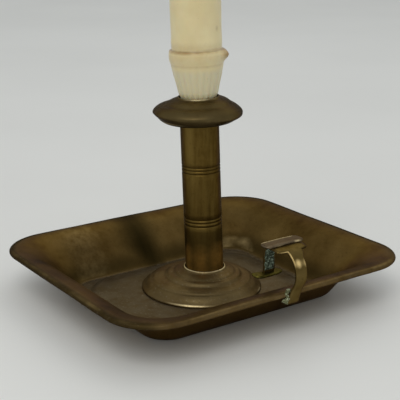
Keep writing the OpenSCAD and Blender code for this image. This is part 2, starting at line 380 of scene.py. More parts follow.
def wax():
    """Cream candle wax: soft, slightly see-through, with a brown stain where marked."""
    mat, tree, shader = new_material("candle_wax")
    cloud = noise_node(tree, 60.0, 4.0, 0.5)
    color = ramp(tree, cloud, [(0.3, (0.72, 0.60, 0.33)), (0.7, (0.80, 0.70, 0.42))])
    color = blend_color(tree, attribute(tree, "base"), color, (0.70, 0.63, 0.41))
    stain = math_node(tree, "MULTIPLY", attribute(tree, "stain"),
                      grey(tree, noise_node(tree, 350.0, 4.0, 0.7), 0.35, 0.6, 0.75, 1.1))
    color = blend_color(tree, stain, color, (0.26, 0.125, 0.018))
    specks = grey(tree, noise_node(tree, 420.0, 3.0, 0.7), 0.64, 0.76, 0.0, 0.30)
    color = blend_color(tree, specks, color, (0.42, 0.30, 0.12))
    tree.links.new(color, shader.inputs["Base Color"])
    shader.inputs["Roughness"].default_value = 0.30
    shader.inputs["Subsurface Weight"].default_value = 0.35
    shader.inputs["Subsurface Radius"].default_value = (0.006, 0.004, 0.002)
    shader.inputs["Subsurface Scale"].default_value = 1.0
    bump_from(tree, shader, noise_node(tree, 240.0, 4.0, 0.6), 0.16, 0.0008)
    return mat


def plain_metal(name, dark, light, rough):
    mat, tree, shader = new_material(name)
    color = ramp(tree, noise_node(tree, 120.0, 5.0, 0.6), [(0.3, dark), (0.7, light)])
    tree.links.new(color, shader.inputs["Base Color"])
    shader.inputs["Metallic"].default_value = 0.9
    tree.links.new(grey(tree, noise_node(tree, 300.0), 0.3, 0.7, rough - 0.08, rough + 0.08),
                   shader.inputs["Roughness"])
    return mat


def charred():
    mat, tree, shader = new_material("charred_wick")
    color = ramp(tree, noise_node(tree, 900.0, 4.0, 0.7),
                 [(0.35, (0.012, 0.010, 0.009)), (0.7, (0.06, 0.05, 0.04))])
    tree.links.new(color, shader.inputs["Base Color"])
    shader.inputs["Roughness"].default_value = 0.9
    return mat


TRAY_BRASS = aged_brass("tray_brass", (0.074, 0.041, 0.009), (0.160, 0.101, 0.032), (0.40, 0.29, 0.13),
                        rough=(0.32, 0.44), edge=(0.27, 0.23, 0.11), reflection_color=(0.160, 0.124, 0.078),
                        dust=0.9)
DOME_BRASS = aged_brass("dome_brass", (0.102, 0.066, 0.026), (0.165, 0.118, 0.052), (0.62, 0.50, 0.28),
                        rough=(0.34, 0.48), patches=55.0, dust=0.45)
STEM_BRASS = aged_brass("stem_brass", (0.072, 0.041, 0.007), (0.164, 0.108, 0.028), (0.44, 0.25, 0.06),
                        rough=(0.30, 0.42), patches=170.0, edge=(0.16, 0.12, 0.06), stretch=(1.0, 1.0, 0.10))
PAN_BRASS = aged_brass("pan_brass", (0.085, 0.060, 0.024), (0.140, 0.103, 0.044), (0.75, 0.64, 0.40),
                       rough=(0.28, 0.40), edge=(0.20, 0.15, 0.08), patches=60.0)
HANDLE_BRASS = aged_brass("handle_brass", (0.082, 0.054, 0.014), (0.160, 0.112, 0.038), (0.90, 0.66, 0.29),
                          rough=(0.30, 0.42), patches=90.0, edge=(0.30, 0.22, 0.10))
PLATE_BRASS = aged_brass("plate_brass", (0.115, 0.084, 0.050), (0.190, 0.145, 0.092), (0.80, 0.66, 0.38))
TAIL_BRASS = aged_brass("tail_brass", (0.040, 0.034, 0.006), (0.130, 0.105, 0.022), (0.30, 0.26, 0.06),
                        patches=260.0)
INNER_BRASS = plain_metal("inner_brass", (0.16, 0.11, 0.05), (0.26, 0.19, 0.10), 0.42)
IRON = plain_metal("iron_rod", (0.06, 0.055, 0.05), (0.14, 0.13, 0.12), 0.5)
VERDIGRIS = verdigris("verdigris_crust", [(0.40, (0.010, 0.014, 0.007)), (0.50, (0.050, 0.070, 0.038)),
                                          (0.60, (0.20, 0.26, 0.19)), (0.71, (0.68, 0.76, 0.69))])
SOLDER = verdigris("rim_solder", [(0.36, (0.02, 0.02, 0.008)), (0.47, (0.13, 0.14, 0.05)),
                                  (0.57, (0.37, 0.39, 0.25)), (0.69, (0.82, 0.84, 0.76))])
WAX = wax()
CHARRED = charred()


def finish_piece(obj, material, body, slot, *nodes):
    obj.data.materials.clear()
    obj.data.materials.append(material)
    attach(obj, body)
    if nodes:
        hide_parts(*nodes)
    return obj


def dress(node, material):
    """Gives a carried-over CAD node its material."""
    obj = frame["nodes"][node]
    obj.data.materials.clear()
    obj.data.materials.append(material)


# ---------------------------------------------------------------------------------------
# Tray
# ---------------------------------------------------------------------------------------
def ring_k(u):
    """0 at the walls' foot and 1 at the hole, for a run u inwards of the line."""
    return (u + BEND_IN) / (HOLE_R - BOTTOM_HX + BEND_IN)


def tray_ring(u, z, corner_steps=14, side_steps=22):
    """One level ring of the tray, u outwards of the line where the walls begin."""
    slope = (RIM_HY - BOTTOM_HY) / WALL_RUN
    hx = BOTTOM_HX + u
    if u >= -BEND_IN:
        hy = BOTTOM_HY + u * slope
    else:
        hy = mix(BOTTOM_HY - BEND_IN * slope, HOLE_R, ring_k(u))
    if u >= 0:
        r = mix(BOTTOM_CORNER, RIM_CORNER, (u / WALL_RUN) ** CORNER_GROWTH)
    else:
        corner = mix(BOTTOM_CORNER, CREASE_CORNER, smooth(ring_k(u) / CREASE_FROM))
        r = mix(corner, HOLE_R, max(0.0, ring_k(u)))
    corners = []
    for q in range(4):
        cx = (1 if q in (0, 3) else -1) * (hx - r)
        cy = (1 if q < 2 else -1) * (hy - r)
        corners.append(arc(cx, cy, r, 90 * q, 90 * q + 90, corner_steps))
    points = []
    for q in range(4):
        points += corners[q][:-1]
        a, b = corners[q][-1], corners[(q + 1) % 4][0]
        points += [(mix(a[0], b[0], s / side_steps), mix(a[1], b[1], s / side_steps))
                   for s in range(side_steps)]
    return [(TRAY_C.x + x, TRAY_C.y + y, z) for x, y in points]


def sheet_path():
    """Middle line of the sheet as (u, z), from the hole out to the end of the curl."""
    path = []
    for i in range(40):
        k = (1 - i / 40) ** 2.2
        u = mix(-BEND_IN, HOLE_R - BOTTOM_HX, k)
        broad = smooth((k - CREASE_FROM) / (CROWN_TO - CREASE_FROM))
        sharp = smooth((k - CREASE_FROM) / (CREASE_TO - CREASE_FROM))
        path.append((u, SHEET_T / 2 + CROWN * mix(broad, sharp, CREASE_RISE)))
    p = [np.array(q) for q in ((-BEND_IN, SHEET_T / 2), (BEND_PULL - BEND_IN, SHEET_T / 2),
                               (WALL_RUN - LIP_PULL, RIM_Z + CURL_R), (WALL_RUN, RIM_Z + CURL_R))]
    for i in range(30):
        k = i / 30
        path.append(tuple(p[0] * (1 - k)**3 + 3 * p[1] * k * (1 - k)**2
                          + 3 * p[2] * k * k * (1 - k) + p[3] * k**3))
    path += arc(WALL_RUN, RIM_Z, CURL_R, 90, 90 - 256, 20)
    return path


def dent(p):
    """How far the old sheet is out of true at a point, in broad ripples and in small ones."""
    x, y, z = p[0] - TRAY_C.x, p[1] - TRAY_C.y, p[2]
    up = smooth((z - 2 * MM) / (20 * MM))
    ripples = 0.35 * MM * wobble((x, y, 0), 22.0, 3.0) * (0.35 + 0.65 * up)
    small = 0.10 * MM * wobble((x, y, z), 75.0, 8.0)
    return (ripples + small) * smooth((math.hypot(x, y) - 38 * MM) / (12 * MM))


# The sheet that stands on the table ends below BAND_TOP, and near the table no dent sinks further
# than MAX_SINK. In the three functions that follow, q is a point, x and y are taken from the tray's
# middle, and run is how far the sheet's middle line lies outwards of the walls' foot.
BAND_TOP = 1.6 * MM
NEAR_TABLE = 1.2 * MM
MAX_SINK = 0.1 * MM
HANDLE_SIDE_X = 70 * MM
SCRAPE_Y = -7.5 * MM
FAR_CORNER_X, FAR_CORNER_Y = -46 * MM, 64 * MM
# Middle of the painted highlight on the far wall
WALL_HIGHLIGHT_Y = -43 * MM
# Middle of the far wall's dark band, partly tarnish and partly a painted reflection of the stem
STAIN_AND_REFLECTION_Y = -5 * MM


def tray_wear_and_highlight(q, x, y, z, near, far_wall, on_roll, upper_skin):
    """Bare metal for a scrape at the handle, and painted highlights: along the top of the near rolled edge,
    in the far corner, and on a patch of the far wall.
    """
    top = smooth((z - RIM_Z) / ROLL_R) if on_roll and upper_skin else 0.0
    # Painted highlight along the top of the rolled edge on the side towards the front
    crest = 0.26 * top * near * (0.7 + 0.6 * wobble(q, 60.0, 1.0))
    scrape = 0.0
    if x > HANDLE_SIDE_X:
        scrape = bump(z, RIM_Z - 0.9 * MM, 0.8 * MM) * bump(y, SCRAPE_Y, 5.0 * MM)
    if z <= BAND_TOP or not upper_skin:
        return crest + scrape
    # Painted highlights in the far corner and on the far wall
    corner = bump(x, FAR_CORNER_X, 22 * MM) * bump(y, FAR_CORNER_Y, 20 * MM)
    corner *= 0.8 + 1.2 * wobble(q, 90.0, 2.0)
    corner *= smooth((10 * MM - z) / (6 * MM))
    wall_highlight = 0.21 * far_wall * bump(y, WALL_HIGHLIGHT_Y, 26 * MM)
    return crest + scrape + (0.75 * corner + wall_highlight)


def tray_reflection(x, run):
    """A grey-brown painted reflection on the floor and, more faintly, on the lip."""
    flat = 1.0 if run < -4.5 * MM else smooth((-1.5 * MM - run) / (3.0 * MM))
    lip = (0.25 if x > HANDLE_SIDE_X else 0.35) * smooth((run - WALL_RUN + 4.5 * MM) / (4 * MM))
    return max(flat, lip)


def tray_grime_and_shade(q, y, z, run, near, far_wall, on_roll):
    """Grime and painted shade: a slanting dark band on the far wall, partly tarnish and partly a painted
    reflection of the stem; painted shade in the crease and at the walls' foot; cloudy grime at random;
    painted shade on the far part of the roll; and the roll darker on its -Y side.
    """
    # A dark band, partly tarnish and partly a painted reflection of the stem
    band_y = STAIN_AND_REFLECTION_Y + 0.5 * max(0.0, 13 * MM - z)
    stain_and_reflection = 0.9 * far_wall * bump(y, band_y, 21 * MM) * (0.95 + 0.3 * wobble(q, 40.0, 5.0))
    # Painted shade at the walls' foot and in the crease
    wall_foot = 0.65 * bump(run, 0.5 * MM, 7 * MM)
    line = 0.45 * bump(ring_k(run), 0.06, 0.05) if run < 0 else 0.0
    cloudy = 0.18 * smooth(0.5 + 1.6 * wobble(q, 26.0, 9.0))
    # Painted shade on the far part of the roll; the roll is also darker on its -Y side
    far_roll_shade = 0.95 * (1 - near) if on_roll else 0.0
    left_roll = 0.70 * smooth((-74 * MM - y) / (10 * MM)) if on_roll else 0.0
    return max(stain_and_reflection, line, cloudy, far_roll_shade, left_roll, wall_foot)


def build_tray():
    path = sheet_path()
    upper, lower = beside(path, SHEET_T / 2), beside(path, -SHEET_T / 2)
    profile = [tuple(p) for p in upper] + [tuple(p) for p in lower[::-1]]
    rows, wear_and_highlight, reflection_tone, grime_and_shade = [], [], [], []
    count = len(upper)
    for k, (u, z) in enumerate(profile):
        row = []
        upper_skin = k < count
        middle = path[k] if upper_skin else path[2 * count - 1 - k]
        run = middle[0]
        on_roll = run > WALL_RUN - 0.2 * MM
        for q, m in zip(tray_ring(u, z), tray_ring(*middle)):
            lift = dent(m)
            lift = max(lift, -MAX_SINK) if z < NEAR_TABLE else lift
            row.append((q[0], q[1], q[2] + (0.0 if m[2] < SHEET_T else lift)))
            x, y = q[0] - TRAY_C.x, q[1] - TRAY_C.y
            near = smooth((0.82 * x - 0.57 * y + 30 * MM) / (60 * MM))
            far_wall = smooth((-42 * MM - x) / (9 * MM))
            wear_and_highlight.append(tray_wear_and_highlight(q, x, y, z, near, far_wall, on_roll, upper_skin))
            reflection_tone.append(tray_reflection(x, run))
            grime_and_shade.append(tray_grime_and_shade(q, y, z, run, near, far_wall, on_roll) if upper_skin else 0.0)
        rows.append(row)
    marks = {"wear_and_highlight": np.clip(wear_and_highlight, 0, 1), "reflection_tone": reflection_tone, "grime_and_shade": np.clip(grime_and_shade, 0, 1)}
    tray = face_out(grid_mesh("tray_shell", rows, marks=marks))
    return finish_piece(tray, TRAY_BRASS, "holder", "tray_brass", "tray")


# ---------------------------------------------------------------------------------------
# Dome foot, stem and drip pan, all turned
# ---------------------------------------------------------------------------------------
def from_front(turn):
    """Degrees from the object's front quarter to a turn, growing towards the -X, -Y corner."""
    return (FRONT_TURN - math.degrees(turn) + 180) % 360 - 180


def build_dome():
    z0 = FLOOR_Z
    outer = rounded([
        (DOME_R, z0), (DOME_R, z0 + 0.9 * MM), (DOME_R - 0.5 * MM, z0 + 1.5 * MM),
        (33.2 * MM, z0 + 2.5 * MM), (31.4 * MM, z0 + 4.2 * MM), (29.9 * MM, z0 + 5.2 * MM),
        (29.0 * MM, z0 + 5.5 * MM), (28.2 * MM, z0 + 6.2 * MM), (27.0 * MM, z0 + 6.6 * MM),
        (25.4 * MM, z0 + 7.0 * MM), (23.8 * MM, z0 + 7.2 * MM), (22.4 * MM, z0 + 7.5 * MM),
        (21.6 * MM, z0 + 8.2 * MM), (20.6 * MM, z0 + 9.1 * MM), (19.4 * MM, z0 + 9.3 * MM),
        (18.2 * MM, z0 + 9.5 * MM), (17.2 * MM, z0 + 10.2 * MM), (15.6 * MM, z0 + 10.9 * MM),
        (12.9 * MM, z0 + 11.9 * MM), (12.2 * MM, z0 + 12.6 * MM), (11.9 * MM, z0 + 13.0 * MM),
        (11.4 * MM, z0 + 13.0 * MM)], 0.5 * MM)
    inner = rounded([(11.4 * MM, z0 + 10.6 * MM), (13.4 * MM, z0 + 9.9 * MM), (17.8 * MM, z0 + 8.3 * MM),
                     (25.4 * MM, z0 + 5.4 * MM), (28.6 * MM, z0 + 3.8 * MM), (31.8 * MM, z0 + 1.6 * MM),
                     (32.4 * MM, z0)], 2.0 * MM)
    def marks(r, z, turn):
        # A worn bottom edge, painted brighter as a highlight mostly on the front; bare metal on the neck
        # ring
        edge = bump(r, DOME_R - 0.3 * MM, 0.9 * MM) * bump(z, z0 + 1.4 * MM, 1.0 * MM)
        front = max(bump(from_front(turn), 12, 34), 0.9 * bump(from_front(turn), -75, 9), 0.12)
        neck = bump(z, z0 + 13.0 * MM, 0.9 * MM) * bump(r, 11.9 * MM, 0.6 * MM)
        return min(1.0, 0.85 * edge * front + 0.9 * neck)

    def dirt_and_shade(r, z, turn):
        grooves = max(bump(r, g * MM, 0.9 * MM) for g in (29.6, 22.6, 17.6))
        p = (r * math.cos(turn), r * math.sin(turn), 0)
        return 0.20 * grooves + 0.22 * smooth(0.5 + 1.5 * wobble(p, 55.0, 3.0))

    dome = lathe("dome_foot", outer + inner, up=Vector((0, 0, 1)), marks=marks, dirt_and_shade=dirt_and_shade, steps=192)
    # The neck hugs the leaning stem, and the wide edge sits off its middle
    off = Vector((-0.574, -0.819, 0)) * 2.3 * MM
    for v in dome.data.vertices:
        k = smooth((v.co.z - z0 - 8 * MM) / (5 * MM))
        out = smooth((math.hypot(v.co.x - FOOT.x, v.co.y - FOOT.y) - 12.5 * MM) / (20 * MM))
        v.co += k * Vector((STEM_UP.x, STEM_UP.y, 0)) / STEM_UP.z * v.co.z + out * off
    return finish_piece(dome, DOME_BRASS, "holder", "dome_brass", "base_dome")


def build_stem():
    low, high = 9.0 * MM, 113.0 * MM
    grooves = [42.2, 44.4, 46.3, 73.3, 75.3, 77.0]
    # One side of a cut ring, as (depth, distance from its middle)
    cut = [(0.0, 0.62), (0.08, 0.45), (0.34, 0.12)]
    outside = [(STEM_R, low)]
    for z in grooves:
        z *= MM
        outside += [(STEM_R - depth * MM, z - apart * MM) for depth, apart in cut]
        outside += [(STEM_R - depth * MM, z + apart * MM) for depth, apart in cut[::-1]]
    outside.append((STEM_R, high))
    dense = [outside[0]]
    for a, b in zip(outside, outside[1:]):
        parts = max(1, int(math.dist(a, b) / (2.5 * MM)))
        dense += [(mix(a[0], b[0], i / parts), mix(a[1], b[1], i / parts)) for i in range(1, parts + 1)]
    inside = [(STEM_R - 0.8 * MM, high), (STEM_R - 0.8 * MM, low)]

    def shift(r, turn, z):
        p = (math.cos(turn), math.sin(turn), z * 40)
        return r + 0.05 * MM * wobble(p, 1.3, 5.0) * (1 if r > STEM_R - 0.6 * MM else 0), z

    def marks(r, z, turn):
        # Painted highlights at the cut rings, and a painted warm glow low on the stem that stands for a
        # reflection
        near = max(bump(z, g * MM, 1.1 * MM) for g in grooves)
        glow = 0.85 * bump(z, 22 * MM, 15 * MM) * (0.6 + 0.8 * wobble_round(turn, 2.5, 1.0))
        return (0.10 * near + glow) * (1 if r > STEM_R - 0.1 * MM else 0)

    def dirt_and_shade(r, z, turn):
        band = max(bump(z, g * MM, 0.5 * MM) for g in grooves)
        # Darker towards the bottom
        bottom = 0.42 * smooth((44 * MM - z) / (8 * MM)) * (0.7 + 0.9 * wobble_round(turn, 2.2, 7.0))
        # Painted shade on both sides of the stem as seen from the front
        aim = from_front(turn)
        side_shade = 0.34 * bump(aim, 68, 34) + 0.16 * bump(aim, -72, 30)
        return max(0.0, min(1.0, 0.28 * band + bottom + side_shade))

    stem = lathe("stem", dense + inside, shift=shift, marks=marks, dirt_and_shade=dirt_and_shade)
    return finish_piece(stem, STEM_BRASS, "holder", "stem_brass", "stem_tube")


def build_pan():
    lip = 116.3 * MM
    pan_r = 25.2 * MM
    m = MM
    outer = rounded([
        (10.9 * m, lip - 3.0 * m), (10.8 * m, lip - 0.9 * m), (11.1 * m, lip - 0.15 * m), (11.5 * m, lip),
        (11.9 * m, lip - 0.3 * m), (12.2 * m, lip - 0.9 * m), (13.2 * m, lip - 1.1 * m),
        (16.0 * m, lip - 2.2 * m), (18.2 * m, lip - 3.6 * m), (19.0 * m, lip - 4.15 * m),
        (19.6 * m, lip - 4.3 * m), (21.8 * m, lip - 5.3 * m), (23.7 * m, lip - 6.7 * m),
        (24.8 * m, lip - 7.9 * m), (pan_r, lip - 8.9 * m),
        (24.9 * m, lip - 9.9 * m), (24.4 * m, lip - 11.0 * m), (23.8 * m, lip - 12.0 * m),
        (22.6 * m, lip - 13.0 * m), (21.2 * m, lip - 13.7 * m), (19.8 * m, lip - 13.8 * m),
        (19.3 * m, lip - 13.2 * m)], 0.7 * MM)
    under = rounded([
        (19.9 * m, lip - 12.6 * m), (21.8 * m, lip - 11.6 * m), (22.9 * m, lip - 9.2 * m),
        (20.8 * m, lip - 6.2 * m), (15.0 * m, lip - 3.6 * m), (12.5 * m, lip - 3.8 * m),
        (12.2 * m, lip - 11.4 * m), (11.05 * m, lip - 11.5 * m), (11.02 * m, lip - 3.4 * m)], 1.0 * MM)
    side, front = across_axis(STEM_UP)
    left_turn = math.atan2(LEFTWARDS.dot(front), LEFTWARDS.dot(side))

    def shift(r, turn, z):
        out = smooth((r - 15 * MM) / (9 * MM))
        d = math.cos(turn - left_turn)
        left, right = smooth((d - 0.2) / 0.8), smooth((-d - 0.1) / 0.9)
        low = smooth((lip - 8.4 * MM - z) / (3.5 * MM))
        lower = smooth((lip - 10.6 * MM - z) / (2.6 * MM))
        bent = left * (0.9 * MM - 1.9 * MM * low) - right * (0.7 * MM * (1 - low) + 2.0 * MM * lower)
        ragged = 0.25 * MM * wobble_round(turn, 1.8, 2.0)
        lift = 0.7 * MM * left - 0.5 * MM * right
        return r + out * (bent + ragged), z + out * lift * (1 - 0.6 * low)

    def marks(r, z, turn):
        # The bright mouth lip, worn and painted brighter towards the front as a highlight, and a painted
        # highlight along the lower edge
        part = 0.25 + 0.75 * bump(from_front(turn), 2, 52)
        top_lip = bump(z, lip, 1.0 * MM) * bump(r, 11.6 * MM, 1.0 * MM) * part
        lower = 0.6 * bump(z, lip - 12.3 * MM, 0.9 * MM) * max(0.3, bump(from_front(turn), 42, 42))
        return min(1.0, 1.1 * top_lip + (lower if r > 23 * MM else 0.0))

    def dirt_and_shade(r, z, turn):
        # Painted shade under the pan
        hidden = 0.8 * smooth((lip - 12.6 * MM - z) / (1.4 * MM))
        ring = 0.15 * bump(r, 19.0 * MM, 1.6 * MM) if z > lip - 6 * MM else 0.0
        cloud = 0.22 * smooth(0.5 + 1.5 * wobble((r * math.cos(turn), r * math.sin(turn), z), 60.0, 6.0))
        return max(hidden, ring, cloud)

    pan = lathe("drip_pan_spun", outer + under, shift=shift, marks=marks, dirt_and_shade=dirt_and_shade, steps=192)
    return finish_piece(pan, PAN_BRASS, "holder", "pan_brass", "drip_pan")


# ---------------------------------------------------------------------------------------
# Handle: a strap bent into a loop, a thumb plate, and the crust at the joints
# ---------------------------------------------------------------------------------------
STRAP_T = 2.0 * MM
OUT_X = strap_high.x - STRAP_T / 2
BEND_OUT = 13.3 * MM
IN_X = TRAY_C.x + 57.8 * MM
BEND_IN_R = 8.0 * MM
STRAP_TOP = 47.8 * MM


def strap_line():
    """Middle line of the strap in side view, as (x, z), from its foot on the rim to its tail."""
    line = [(OUT_X - 4.6 * MM, 19.2 * MM), (OUT_X - 3.8 * MM, 22.2 * MM), (OUT_X - 2.8 * MM, 25.3 * MM)]
    line += arc(OUT_X - BEND_OUT, STRAP_TOP - BEND_OUT, BEND_OUT, -33, 90, 14)
    line += arc(IN_X + BEND_IN_R, STRAP_TOP - BEND_IN_R, BEND_IN_R, 90, 180, 8)
    line += [(IN_X, 35 * MM), (IN_X, 31.5 * MM), (IN_X - 0.4 * MM, 29.6 * MM),
             (IN_X - 1.4 * MM, 28.4 * MM)]
    return rounded(line, 0.8 * MM)


def strap_sides(x, z, k):
    """How far the strap reaches to its -Y and +Y side. It flares out under the thumb plate."""
    half = 3.6 * MM
    if k < 0.5:
        near_plate = smooth((IN_X + 14.6 * MM - x) / (2.2 * MM))
        left = half + 6.2 * MM * near_plate
        right = half + 2.3 * MM * smooth((z - 43.2 * MM) / (3.2 * MM)) + 0.6 * MM * near_plate
    else:
        left = right = half + 6.2 * MM * smooth((x - IN_X - 5 * MM) / (4 * MM))
    return left, right


def build_strap():
    line = strap_line()
    n = len(line)
    centre = np.array(line)
    run = np.gradient(centre, axis=0)
    run /= np.linalg.norm(run, axis=1)[:, None]
    across = 16
    rows, wear_and_highlight = [], []
    for i in range(n):
        x, z = centre[i]
        nx, nz = -run[i][1], run[i][0]
        k = i / (n - 1)
        left, right = strap_sides(x, z, k)
        ring = []
        for side in (1, -1):
            for j in range(across + 1):
                t = mix(-1, 1, j / across) * side
                h = side * STRAP_T / 2 * (0.72 + 0.28 * (1 - abs(t) ** 10))
                # the loop's outer skin is crowned, and its inner skin is flat
                crown = 0.25 * MM * t * t if side < 0 else 0.0
                y = HANDLE_Y + t * (right if t > 0 else left)
                y -= 1.5 * MM * smooth((34 * MM - z) / (14 * MM)) if k < 0.5 else 0.0
                p = (x + nx * (h + crown), y, z + nz * (h + crown))
                rough = 0.08 * MM * wobble(p, 180.0, 4.0)
                ring.append((p[0] + nx * rough, p[1], p[2] + nz * rough))
                outside = 1.0 if side < 0 else 0.0
                # Painted highlights: a bright spot on the outside of the bend and a thin bright line along
                # the -Y edge near the top
                bend = bump(z, 41.0 * MM, 3.0 * MM) * outside if k < 0.5 else 0.0
                bend *= 0.35 + 0.75 * bump(t, -0.35, 0.6) + 0.45 * bump(t, 0.85, 0.3)
                low = 0.05 * outside * smooth((42 * MM - z) / (10 * MM)) if k < 0.5 else 0.0
                edge = bump(z, 45 * MM, 6 * MM) * smooth((-t - 0.9) / 0.08) * outside if k < 0.5 else 0.0
                wear_and_highlight.append(min(1.0, 1.15 * bend * (0.8 + 0.5 * wobble(p, 160.0, 2.0)) + low + 0.8 * edge))
        rows.append(ring)
    strap = grid_mesh("handle_loop", rows, close_rows=False, marks={"wear_and_highlight": wear_and_highlight})
    cap_ends(strap, len(rows[0]), n)
    return finish_piece(face_out(strap), HANDLE_BRASS, "holder", "handle_brass", "handle_strap")


def slab(name, outline, level, thick, marks=None, rings=6):
    """A closed plate from a plan outline round its middle. level(x, y) is its mid height."""
    cx = sum(p[0] for p in outline) / len(outline)
    cy = sum(p[1] for p in outline) / len(outline)
    rows, wear_and_highlight = [], []
    shrink = [0.02] + [((i + 1) / rings) ** 0.7 for i in range(rings)]
    for side, factors in ((1, shrink), (-1, shrink[::-1])):
        for f in factors:
            edge = 1.0 if f < 0.999 else 0.55
            row = [(mix(cx, x, f), mix(cy, y, f)) for x, y in outline]
            rows.append([(x, y, level(x, y) + side * edge * thick / 2) for x, y in row])
            wear_and_highlight += [marks(x, y, f, side) if marks else 0.0 for x, y in row]
    obj = grid_mesh(name, rows, close_rows=False, marks={"wear_and_highlight": wear_and_highlight})
    cap_ends(obj, len(outline), len(rows))
    return face_out(obj)


def plate_outline(cx, cy, hx, hy, corner, spacing):
    """Rounded rectangle in plan, as evenly spaced points."""
    pts = []
    for q in range(4):
        ax = (1 if q in (0, 3) else -1) * (hx - corner)
        ay = (1 if q < 2 else -1) * (hy - corner)
        pts += arc(cx + ax, cy + ay, corner, 90 * q, 90 * q + 90, 8)
    out = []
    for a, b in zip(pts, pts[1:] + pts[:1]):
        steps = max(1, int(math.dist(a, b) / spacing))
        out += [(mix(a[0], b[0], i / steps), mix(a[1], b[1], i / steps)) for i in range(steps)]
    return out


def build_tail():
    """The strap's free end, spread into a fish tail."""
    y = HANDLE_Y
    m = MM
    shape = [(-3.2, -9.4), (-1.0, -10.0), (1.6, -9.4), (2.7, -7.0), (2.5, -3.5), (2.4, 0), (2.3, 3.0),
             (2.2, 6.0), (1.2, 8.4), (-0.8, 8.8), (-2.2, 7.6), (-2.6, 5.2), (-2.7, 2.6), (-2.7, 0),
             (-2.9, -2.8), (-3.5, -6.2), (-3.2, -9.4)]
    corners = [(IN_X + 0.2 * m + a * m, y + b * m) for a, b in shape]
    outline = [tuple(p) for p in rounded(corners, 0.7 * m)[:-1]]

    def level(px, py):
        a = (py - y) / (9.8 * m)
        return 27.9 * m + 0.5 * m * a * a - 0.10 * (px - IN_X) + 0.15 * m * wobble((px, py, 0), 200.0, 6.0)

    def marks(px, py, f, side):
        return 0.22 * smooth((y - 3 * m - py) / (4 * m))

    tail = slab("fish_tail", outline, level, 1.5 * m, marks)
    return finish_piece(tail, TAIL_BRASS, "holder", "handle_brass")


def cap_ends(obj, ring, count):
    """Closes both ends of a tube made of rings."""
    bm = bmesh.new()
    bm.from_mesh(obj.data)
    bm.verts.ensure_lookup_table()
    bm.faces.new([bm.verts[i] for i in range(ring)])
    bm.faces.new([bm.verts[(count - 1) * ring + i] for i in reversed(range(ring))])
    bm.to_mesh(obj.data)
    bm.free()
    smooth_faces(obj.data)


def build_thumb_plate():
    low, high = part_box("thumb_plate")
    cx, cy = (low.x + high.x) / 2, (low.y + high.y) / 2
    hx, hy = (high.x - low.x) / 2, (high.y - low.y) / 2
    thick = high.z - low.z
    outline = plate_outline(cx, cy, hx, hy, 2.4 * MM, 0.8 * MM)

    def level(x, y):
        u, v = (x - cx) / hx, (y - cy) / hy
        dish = 0.25 * MM * abs(u) ** 3 - 0.35 * MM * smooth((u - 0.55) / 0.45)
        return (low.z + high.z) / 2 + dish - 0.25 * MM * v * v + 0.05 * MM * wobble((u, v, 0), 2.5, 7.0)

    def marks(x, y, f, side):
        # Painted highlights: a thin line along the -X edge of the top, a spot near the +X end, and a band
        # under the +X end
        u = (x - cx) / hx
        v = (y - cy) / hy
        far = smooth((-u - 0.66) / 0.2) * 0.8 if side > 0 and v < 0.75 else 0.0
        tip = bump(v, 0.62, 0.30) * smooth((u - 0.8) / 0.15) * 0.55
        wedge = smooth((u - 0.85) / 0.1) * bump(v, -0.35, 0.45) * 0.75 if side < 0 else 0.0
        return max(far, tip, wedge)

    plate = slab("thumb_rest", outline, level, thick, marks)
    return finish_piece(plate, PLATE_BRASS, "holder", "handle_brass", "thumb_plate")


def lump(name, centre, size, seed, rough=0.35, level=4):
    """A small irregular blob."""
    bm = bmesh.new()
    bmesh.ops.create_icosphere(bm, subdivisions=level, radius=1.0)
    for v in bm.verts:
        n = v.co.normalized()
        r = 1 + rough * wobble(n, 1.6, seed) + 0.5 * rough * wobble(n, 4.5, seed + 3)
        v.co = Vector([centre[i] + n[i] * size[i] * r for i in range(3)])
    mesh = bpy.data.meshes.new(name)
    bm.to_mesh(mesh)
    bm.free()
    smooth_faces(mesh)
    return add_object(name, mesh)


def crust_patch(name, centre, half_y, low, high, seed, deep):
    """A ragged crust on the side of the strap's inner leg that faces into the loop."""
    ny, nz = 44, 76
    verts, faces = [], []
    for skin in (1, 0):
        for j in range(nz + 1):
            for i in range(ny + 1):
                a, b = mix(-1, 1, i / ny), mix(-1, 1, j / nz)
                q = (a * 1.3, b * 3.0, seed)
                edge = max(abs(a), abs(b))
                rough = 0.55 + 0.8 * wobble(q, 1.6, seed) + 0.55 * wobble(q, 4.6, seed + 2)
                rim = smooth((1 - edge) / 0.22)
                out = deep * max(0.02, rim * (0.35 + rough)) if skin else -0.05 * MM
                side = 1 + 0.22 * wobble((b * 2.2, seed, 1.0 if a > 0 else -1.0), 1.7, seed)
                verts.append((centre[0] + out, centre[1] + a * half_y * side, mix(low, high, j / nz)))
    layer = (ny + 1) * (nz + 1)
    for j in range(nz):
        for i in range(ny):
            a = j * (ny + 1) + i
            b, c, d = a + 1, a + ny + 2, a + ny + 1
            faces.append((a, b, c, d))
            faces.append((layer + a, layer + d, layer + c, layer + b))
    edge = list(range(ny + 1)) + [j * (ny + 1) + ny for j in range(1, nz + 1)]
    edge += [nz * (ny + 1) + i for i in reversed(range(ny))]
    edge += [j * (ny + 1) for j in reversed(range(1, nz))]
    for a, b in zip(edge, edge[1:] + edge[:1]):
        faces.append((a, layer + a, layer + b, b))
    return face_out(make_mesh(name, verts, faces))


